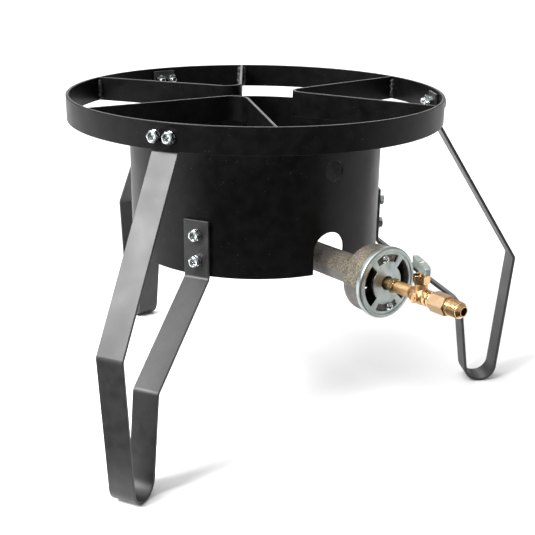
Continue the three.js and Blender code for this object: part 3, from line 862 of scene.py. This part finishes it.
def burner_shape():
    """The casting as a working solid in mm, before its surface is made."""
    tube = along_tube(lathe([
        (0, 0), (TUBE_RADIUS, 0), (TUBE_RADIUS, 187), (14.5, 188.6), (14.6, 190.4), (16.5, 191.2),
        (28, 192.2), (30.4, 193), (32, 194.4), (33, 196.6), (BELL_RADIUS, 200),
        (BELL_RADIUS, BELL_FACE - 0.6), (BELL_RADIUS - 0.5, BELL_FACE), (0, BELL_FACE)]))
    body = lathe([
        (0, BOSS_BOTTOM), (BOSS_RADIUS, BOSS_BOTTOM), (BOSS_RADIUS, 180), (17, 184), (18.5, 192),
        (18.5, 206), (17, 212), (18, 222), (30, 227.5), (44, 233), (52, 236.5), (55.5, 240),
        (HEAD_RADIUS, 244), (HEAD_RADIUS, 249), (55, 252), (52, 254), (44, 257), (30, HEAD_TOP),
        (0, HEAD_TOP)])
    throat = along_tube(lathe([
        (0, 0), (TUBE_BORE, 0), (TUBE_BORE, 183), (14, 190), (19, 197), (27, 202), (BELL_BORE, 208),
        (BELL_BORE, BELL_BACK), (0, BELL_BACK)], 64))
    chamber = lathe([
        (0, 187.7), (11, 187.7), (13, 206), (13, 226), (42, 237), (51, 242), (51, 249), (44, 252),
        (0, 253)], 64)
    item = solid(tube)
    boolean(item, "UNION", body)
    cut(item, throat, chamber)
    for side in (0, math.pi):
        cut(item, along_tube(sector(HUB_RADIUS, BELL_BORE, side - BRIDGE_TURN,
                                    radians(90) - BRIDGE_HALF_ANGLE, BELL_BACK - 1, BELL_FACE + 1)))
    cut(item, along_tube(rod(HUB_BORE, BELL_BACK - 10, BELL_FACE + 1)))
    ports = []
    for radius, count in PORT_ROWS:
        for x, y in arc((0, 0), radius, 0, 2 * math.pi, count)[:-1]:
            port = rod(PORT_RADIUS, HEAD_TOP - 12, HEAD_TOP + 2, 16)
            ports.append(moved(port, Matrix.Translation((x, y, 0))))
    cut(item, together(*ports))
    cut(item, rod(HOLE, BOSS_BOTTOM - 4.7, TAPPED_TOP))
    return item


def burner_surface(item):
    """Marks the casting's upper half and its painted shade (beside the bell's neck, under the windscreen's
    shadow and inside the bell) for the material, and steps its parting line.
    """
    rise = math.tan(BURNER_RISE)
    shares, painted_shades, places = [], [], []
    for vertex, normal in zip(item.data.vertices, [tuple(v.vector) for v in item.data.vertex_normals]):
        along = -vertex.co.y
        above = vertex.co.z - (BURNER_HEIGHT + along * rise)
        off_axis = math.hypot(vertex.co.x, above)
        share = min(1, max(0, above / PARTING_STEP_WIDTH + 0.5))
        neck_shadow = 0
        # painted shade beside the bell's neck
        if off_axis < TUBE_RADIUS + 2:
            neck_shadow = math.exp(-((along - NECK_STATION) / NECK_SHADE) ** 2)
        # painted shadow of the windscreen on the tube
        windscreen_shadow = min(1, max(0, (WINDSCREEN_SHADOW_STATION - along) / WINDSCREEN_SHADOW_FADE))
        # the bell's inside is painted fully shaded
        inside = off_axis < BELL_INSIDE and BELL_FLOOR < along < BELL_BACK - 0.5
        shares.append(share)
        painted_shades.append(1 if inside else min(1, PAINTED_SHADE_DEPTH * (neck_shadow + windscreen_shadow)))
        places += [*(vertex.co + Vector(normal) * (PARTING_STEP * (share - 0.5)))]
    for name, values in (("upper_half", shares), ("painted_shade", painted_shades)):
        item.data.attributes.new(name, "FLOAT", "POINT").data.foreach_set("value", values)
    item.data.vertices.foreach_set("co", places)


def burner_casting():
    item = burner_shape()
    remeshed(item, CASTING_VOXEL, 2)
    burner_surface(item)
    displaced(item, GRAIN_SIZE, GRAIN_DEPTH)
    finished(item, "burner_casting_iron", RING, "stand", IRON, ["burner_casting"], sharp=60)


def crossbar():
    inside = SCREEN_RADIUS - SCREEN_SHEET
    wall = math.sqrt(inside ** 2 - (CROSSBAR_WIDTH / 2) ** 2) - 2 * GAP - BAR / 2
    middle = CROSSBAR_FACE - BAR / 2
    half = [(wall, CROSSBAR_TOP), (wall, CROSSBAR_SHOULDER, CROSSBAR_BEND),
            (CROSSBAR_FLAT, middle, CROSSBAR_BEND)]
    line = fillet([(-corner[0], *corner[1:]) for corner in half] + half[::-1])
    item = solid(strip(line, BAR, CROSSBAR_WIDTH))
    cut(item, rod(HOLE, middle - 10, middle + 10))
    finished(item, "burner_crossbar_strap", RING, "stand", PAINT, ["burner_crossbar"])
    low, high = CROSSBAR_WELD
    beads = []
    for side in (-1, 1):
        for edge in (-1, 1):
            x, y = side * (wall + 0.6), edge * (CROSSBAR_WIDTH / 2 + 0.4)
            beads.append(bead((x, y, low), (x, y, high), CROSSBAR_BEAD, 40 + 3 * side + edge))
    finished(solid(together(*beads)), "weld_crossbar", RING, "stand", WELD, sharp=60)


# ---- air shutter ---------------------------------------------------------------------------------
def arc_opening(inner, outer, half):
    """The outline of a window or slot in the shutter, for sheet_cutter."""
    def outline(grow):
        points = arc((0, 0), outer + grow, -half - grow / outer, half + grow / outer, 30)
        points += arc((0, 0), inner - grow, half + grow / inner, -half - grow / inner, 30)
        return points
    return outline


def air_shutter():
    rim = SHUTTER_FACE + 0.1
    front = SHUTTER_FACE - SHUTTER_DISH
    back = front - SHUTTER_SHEET
    wall = SHUTTER_RADIUS - SHUTTER_SHEET
    profile = fillet([(SHUTTER_RADIUS, SHUTTER_BACK, 0.4), (SHUTTER_RADIUS, rim, 1.9), (31.8, rim, 0.6),
                      (31.0, front, 0.5), (SHUTTER_HOLE, front, 0.3), (SHUTTER_HOLE, back, 0.2),
                      (wall, back, 0.6), (wall, SHUTTER_BACK, 0.4)], radians(15), True)
    item = solid(lathe(profile, 160, loop=True))
    level = front - SHUTTER_SHEET / 2
    for middle, opening in ((0, WINDOW), (180, WINDOW), (90, ARC_SLOT), (270, ARC_SLOT)):
        verts, faces = sheet_cutter(arc_opening(*opening), SHUTTER_SHEET, OPENING_EDGE)
        flat = [(x, z, y + level) for x, y, z in verts], faces
        cut(item, moved(flat, Matrix.Rotation(radians(middle), 4, "Z")))
    finished(item, "air_shutter_disc", TRAIN, "shutter", SHUTTER, ["air_shutter"], sharp=35)


def shutter_screws():
    for i, (x, y) in enumerate(screw_places()):
        head = fillet([(0, 0), (4.1, 0, 0.15), (4.1, 0.9, 0.5), (2.4, 2.75, 1.6), (0, 3.0)], radians(10))
        item = solid(lathe([(0, 0)] + head[1:], 40))
        cut(item, *phillips(0.95, 4.2, 1.9, 1.1))
        shank = threaded(SCREW_RADIUS, SCREW_PITCH, SCREW_THREAD, 0, SCREW_LENGTH, 20, 0.5)
        shank = moved(shank, Matrix.Rotation(radians(180), 4, "X") @ Matrix.Translation((0, 0, -0.3)))
        part = together(taken(item), shank)
        place = TRAIN @ Matrix.Translation((x, y, SHUTTER_FACE - 0.3)) @ Matrix.Rotation(0.5 + i, 4, "Z")
        finished(solid(part), f"shutter_screw_{i + 1}_plated", place, "stand", ZINC,
                 [f"shutter_screw_{i + 1}"], sharp=35)


# ---- brass train ---------------------------------------------------------------------------------
def chamfered_hexagon(flats, low, high):
    """A hexagonal bar whose corners are turned down at both ends."""
    item = solid(hexagon(flats, low, high))
    slant = 0.577                 # the tangent of 30 degrees
    tip = flats / 2 - 0.25
    wide = flats / 2 * 1.2
    slope = slant * (wide - tip)
    barrel = lathe([(0, low - slant), (tip - 1, low - slant), (wide, low + slope), (wide, high - slope),
                    (tip - 1, high + slant), (0, high + slant)], 64)
    boolean(item, "INTERSECT", barrel)
    return bevelled(item, 0.14, 2, 35)


def brass_piece(item, name, matrix=TRAIN, material=BRASS_TURNED, replaced=(), sharp=32, body="stand"):
    finished(item, name, matrix, body, material, replaced, sharp)


def turned(corners, sides=72, bored=False):
    """A turned solid from a filleted outline. A bored one has no point on the axis."""
    return solid(lathe(fillet(corners, closed=bored), sides, loop=bored))


def orifice_holder():
    hexagon_start, hexagon_end = HOLDER_HEXAGON
    nipple_end = hexagon_start + 0.4
    nipple = turned([(0, HOLDER_TIP), (2.2, HOLDER_TIP), (3.4, 205), (HOLDER_NIPPLE_RADIUS, 205.4, 0.3),
                     (HOLDER_NIPPLE_RADIUS, nipple_end), (0, nipple_end)], 64)
    brass_piece(nipple, "orifice_holder_nipple", replaced=["orifice_holder"])
    brass_piece(chamfered_hexagon(HOLDER_FLATS, *HOLDER_HEXAGON), "orifice_holder_hexagon",
                material=BRASS_HEX)
    spigot = solid(rod(SPIGOT_RADIUS, hexagon_end - 0.5, SPIGOT_END, 48))
    brass_piece(spigot, "orifice_holder_spigot")


def valve_body():
    item = turned([(0, BARREL_START), (BARREL_RADIUS, BARREL_START, 0.4), (BARREL_RADIUS, 257, 6),
                   (7.6, 261, 4), (SWELL_RADIUS, 264.5, 2), (SWELL_RADIUS, 273.4, 0.8), (7.2, 274.8),
                   (0, 274.8)])
    upright = Matrix.Translation((0, 0, VALVE_STATION)) @ Matrix.Rotation(radians(-90), 4, "X")
    sideways = Matrix.Translation((0, 0, VALVE_STATION)) @ Matrix.Rotation(radians(-90), 4, "Y")
    boolean(item, "UNION", moved(rod(6.3, 0, 12, 64), upright), moved(rod(5.2, 0, 9.2, 48), sideways))
    cut(item, rod(SPIGOT_RADIUS + 0.35, BARREL_START - 1.2, SPIGOT_END + 0.6))
    remeshed(item, BODY_VOXEL, 3)
    brass_piece(item, "valve_body_forging", material=BRASS_FORGED, replaced=["valve_body"], sharp=60)
    boss = turned([(0, 6), (5.1, 6), (5.1, 10.6, 0.6), (4.0, 10.6, 0.2), (3.7, 9.8, 0.15),
                   (2.4, 9.8, 0.15), (2.1, 10.5, 0.2), (0, 10.5)], 56)
    brass_piece(boss, "valve_body_boss", TRAIN @ sideways, BRASS_FORGED)
    collar = turned([(0, 274.4), (7.0, 274.4), (7.0, 275.3, 0.2), (COLLAR_RADIUS, 276.0, 1.1),
                     (COLLAR_RADIUS, 279.8, 1.1), (7.1, VALVE_END, 0.2), (GAS_BORE, VALVE_END),
                     (GAS_BORE, 274.6), (0, 274.6)])
    brass_piece(collar, "valve_body_collar")


def flare_adapter():
    start = VALVE_END + GAP
    collar = turned([(ADAPTER_BORE, start), (7.1, start, 0.2), (COLLAR_RADIUS, start + 0.7, 1.0),
                     (COLLAR_RADIUS, start + 3.6, 1.0), (7.0, start + 4.2, 0.3), (7.0, start + 5.4),
                     (ADAPTER_BORE, start + 5.4)], bored=True)
    brass_piece(collar, "flare_adapter_collar", replaced=["flare_adapter"])
    item = chamfered_hexagon(ADAPTER_FLATS, *ADAPTER_HEXAGON)
    cut(item, rod(ADAPTER_BORE, 284, 305))
    brass_piece(item, "flare_adapter_hexagon", material=BRASS_BLANK)
    neck = turned([(ADAPTER_BORE, 303.4), (7.9, 303.4), (7.9, 304.8, 0.5), (7.05, 305.5, 0.3),
                   (7.05, 306.9), (ADAPTER_BORE, 306.9)], bored=True)
    brass_piece(neck, "flare_adapter_neck")
    item = solid(threaded(FLARE_RADIUS, FLARE_PITCH, 0.6, *FLARE_THREAD, 96, 0.7, 1.5))
    cut(item, rod(ADAPTER_BORE, 300, 320))
    brass_piece(item, "flare_adapter_thread", sharp=50)
    nose = turned([(ADAPTER_BORE, 316.9), (7.2, 316.9), (7.5, 317.5, 0.3), (7.5, 318.5, 0.5),
                   (5.2, FLARE_TIP - 0.5, 0.5), (4.7, FLARE_TIP, 0.3), (ADAPTER_BORE, FLARE_TIP, 0.2)],
                  bored=True)
    brass_piece(nose, "flare_adapter_nose")


# ---- valve top, about the stem's axis --------------------------------------------------------------
def packing_nut():
    item = chamfered_hexagon(PACKING_NUT_FLATS, *PACKING_NUT)
    cut(item, lathe([(0, 11), (2.8, 11), (2.8, 20.6), (3.5, 21.2), (3.5, 23), (0, 23)], 40))
    brass_piece(item, "packing_nut_hexagon", BONNET, replaced=["packing_nut"])


def valve_stem():
    item = turned([(0, -4.6), (PLUG_RADIUS, -4.6, 0.3), (PLUG_RADIUS, 5, 0.3), (STEM_RADIUS, 5),
                   (STEM_RADIUS, STEM_TOP, 0.4), (0, STEM_TOP)], 48)
    brass_piece(item, "valve_stem_turned", TURNING, replaced=["valve_stem"], body="lever")


def lever_pin():
    across = Matrix.Translation((0, 0, LEVER_PIN_HEIGHT)) @ Matrix.Rotation(radians(90), 4, "X")
    item = solid(rod(1.0, -LEVER_HALF_WIDTH, LEVER_HALF_WIDTH, 24))
    finished(item, "lever_pin_plated", TURNING @ across, "lever", ZINC, ["lever_pin"])


def valve_lever():
    """The lever's side view, cut to its plan: widest about the stem, narrow at both ends."""
    back, front = LEVER_ENDS
    side = fillet([(back, LEVER_BOTTOM, 0.5), (front, LEVER_BOTTOM, 0.5), (front, LEVER_TOP - 1.8, 0.8),
                   (front - 2.4, LEVER_TOP, 1.5), (back + 0.8, LEVER_TOP, 0.4),
                   (back, LEVER_TOP - 1.0, 0.4)], radians(12), True)
    item = solid(loft([[(x, y, z) for x, z in side] for y in (-5, 5)]))
    edge = [(back, 2.5, 0.8), (-13, 3.4), (-4, LEVER_HALF_WIDTH, 6), (4, LEVER_HALF_WIDTH, 6), (12, 3.4),
            (front, 2.6, 0.8)]
    plan = fillet([(x, -half, *rest) for x, half, *rest in edge] + edge[::-1], radians(12), True)
    boolean(item, "INTERSECT", loft([[(x, y, z) for x, y in plan] for z in (20, 40)]))
    cut(item, rod(STEM_BORE, 20, 40, 48))
    remeshed(item, LEVER_VOXEL, 2)
    finished(item, "valve_lever_die_casting", TURNING, "lever", LEVER, ["valve_lever"],
             sharp=60)


def stem_packing():
    item = turned([(2.8, 5.3, 0.2), (3.85, 5.3, 0.2), (3.85, 11.7, 0.2), (2.8, 11.7, 0.2)], 48, True)
    finished(item, "stem_packing_ring", BONNET, "stand", PACKING, ["stem_packing"])


# ---- build ---------------------------------------------------------------------------------------
pot_ring()
windscreen()
RING_MIDDLE = STAND_HEIGHT - RING_HEIGHT / 2
for number, angle in enumerate(LEG_ANGLES, 1):
    pot_support(number, angle)
    leg(number, angle)
    for letter, side in (("a", -1), ("b", 1)):
        bolt_set(f"ring_{number}{letter}", station(angle), side * RING_BOLT_SPREAD / 2, RING_MIDDLE,
                 RING_RADIUS, RING_TAB - BAR / 2)
    for letter, height in zip("ab", TAB_BOLT_HEIGHTS):
        bolt_set(f"screen_{number}{letter}", station(angle), 0, height, SCREEN_TAB + BAR / 2,
                 SCREEN_RADIUS - SCREEN_SHEET)
burner_casting()
crossbar()
under = RING @ Matrix.Translation((0, 0, CROSSBAR_FACE - BAR)) @ Matrix.Rotation(math.pi, 4, "X")
fastener(WASHER_MESH, "lock_washer_burner", under, GAP)
fastener(BURNER_BOLT_MESH, "bolt_burner", under, WASHER_HEIGHT + 2 * GAP)
air_shutter()
shutter_screws()
orifice_holder()
valve_body()
flare_adapter()
packing_nut()
valve_stem()
lever_pin()
valve_lever()
stem_packing()

# ---- floor, light and camera ----------------------------------------------------------------------
FLOOR_SIZE = 60.0
CARD_NEAR = 0.33
CARD_FAR = 7.0
CARD_HEIGHT = 0.002
CARD_ANGLES = (radians(180), radians(296))
CARD_STEPS = 24


def staged(name, verts, faces, finish):
    """A flat object of the studio, in metres."""
    mesh = bpy.data.meshes.new(name)
    mesh.from_pydata(verts, [], faces)
    item = bpy.data.objects.new(name, mesh)
    bpy.context.scene.collection.objects.link(item)
    mesh.materials.append(finish.material)
    return item


def studio_floor():
    finish = Finish("studio_floor", 0.0, Roughness=0.8, Specular_IOR_Level=0.2)
    finish.colour(finish.ramp(finish.noise(3), (0.3, 0.88), (0.7, 0.9)))
    half = FLOOR_SIZE / 2
    corners = [(-half, -half, 0), (half, -half, 0), (half, half, 0), (-half, half, 0)]
    staged("studio_floor", corners, [(0, 1, 2, 3)], finish)


def dark_card():
    """A dark card on the floor in front of the stand. Only reflections see it."""
    finish = Finish("dark_card", 0.0, Roughness=1.0, Specular_IOR_Level=0.0)
    finish.colour(finish.ramp(finish.noise(5), (0.3, 0.02), (0.7, 0.03)))
    edges = [arc((0, 0), radius, *CARD_ANGLES, CARD_STEPS) for radius in (CARD_NEAR, CARD_FAR)]
    verts = [(x, y, CARD_HEIGHT) for edge in edges for x, y in edge]
    row = CARD_STEPS + 1
    card = staged("dark_card", verts, [(k, k + 1, row + k + 1, row + k) for k in range(CARD_STEPS)], finish)
    card.visible_camera = False
    card.visible_diffuse = False
    card.visible_shadow = False


def light(name, kind, place, aim, power, size=0.0, angle=0.0):
    data = bpy.data.lights.new(name, kind)
    data.energy = power
    if kind == "AREA":
        data.shape = "SQUARE"
        data.size = size
    else:
        data.angle = angle
    item = bpy.data.objects.new(name, data)
    item.location = place
    item.rotation_euler = (Vector(aim) - Vector(place)).to_track_quat("-Z", "Y").to_euler()
    item.visible_camera = False
    bpy.context.scene.collection.objects.link(item)


def white_world():
    world = bpy.context.scene.world or bpy.data.worlds.new("studio")
    bpy.context.scene.world = world
    world.use_nodes = True
    background = world.node_tree.nodes["Background"]
    background.inputs["Color"].default_value = (1, 1, 1, 1)
    background.inputs["Strength"].default_value = 0.5


def add_camera(place, heading, pitch, roll, lens):
    """A camera that looks along a heading and a pitch, turned about its own axis by the roll."""
    forward = Vector((math.cos(pitch) * math.cos(heading), math.cos(pitch) * math.sin(heading),
                      math.sin(pitch)))
    level = Vector((math.sin(heading), -math.cos(heading), 0))
    upwards = level.cross(forward)
    right = level * math.cos(roll) + upwards * math.sin(roll)
    up = upwards * math.cos(roll) - level * math.sin(roll)
    data = bpy.data.cameras.new("camera")
    data.lens = lens
    data.sensor_width = 36
    camera = bpy.data.objects.new("camera", data)
    camera.matrix_world = Matrix.Translation(place) @ Matrix((right, up, -forward)).transposed().to_4x4()
    bpy.context.scene.collection.objects.link(camera)
    bpy.context.scene.camera = camera


studio_floor()
white_world()
light("softbox_left", "AREA", (-1.9, -0.1, 1.75), (-0.1, 0, 0.2), 120, size=1.1)
light("softbox_back", "AREA", (1.9, 2.7, 1.7), (0, 0, 0.3), 26, size=1.7)
light("overhead", "SUN", (-1.0, 1.0, 3.2), (0, 0, 0), 2.2, angle=radians(60))
dark_card()
add_camera((-0.6121, -0.8558, 0.5234), radians(53.855), radians(-19.491), radians(0.7602), 65.27)
bpy.context.scene.view_settings.view_transform = "Standard"
